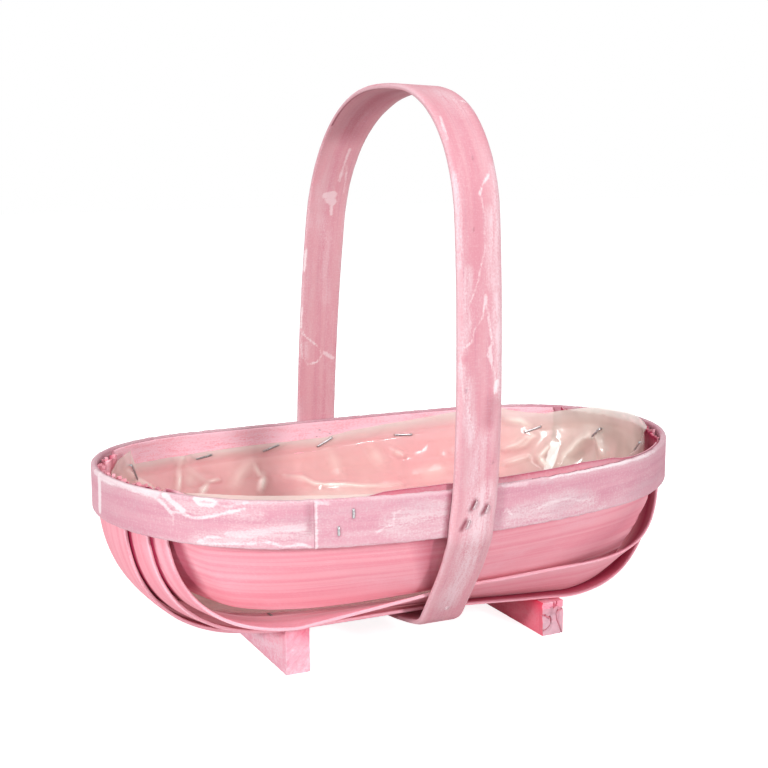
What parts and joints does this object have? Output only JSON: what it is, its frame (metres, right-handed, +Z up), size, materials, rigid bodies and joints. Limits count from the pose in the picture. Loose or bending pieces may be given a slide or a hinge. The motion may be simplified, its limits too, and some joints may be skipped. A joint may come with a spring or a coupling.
{
  "type": "wooden trug basket",
  "caption": "Boat-shaped trug of bent veneer boards in a bent wooden rim, with a tall bent strip handle, block feet and a stapled film liner; washed pink finish.",
  "frame": {"origin": "on the ground, below the middle of the whole part's box", "axes": "+X along the basket to the end on the right as seen from the front, +Y to the back, +Z up"},
  "size_m": [0.3359, 0.2172, 0.3055],
  "materials": {
    "rim_wood": "matte mauve pink stain with white wash",
    "handle_wood": "matte pink stain with white wash",
    "board_wood": "matte salmon pink stain on veneer",
    "foot_wood": "matte pink stain, rough sawn",
    "film": "clear creased film",
    "steel": "plain staple wire"
  },
  "bodies": {
    "root": {"rim_hoop": "rim_wood", "handle_hoop": "handle_wood", "front_side_board": "board_wood", "back_side_board": "board_wood", "centre_bottom_board": "board_wood", "front_inner_bottom_board": "board_wood", "front_outer_bottom_board": "board_wood", "back_inner_bottom_board": "board_wood", "back_outer_bottom_board": "board_wood", "left_foot": "foot_wood", "right_foot": "foot_wood", "liner": "film", "liner_staples": "steel", "rim_lap_staples": "steel", "front_handle_staples": "steel", "back_handle_staples": "steel", "handle_nails": "steel", "left_board_staples": "steel", "right_board_staples": "steel", "left_foot_staples": "steel", "right_foot_staples": "steel"}
  },
  "joints": []
}
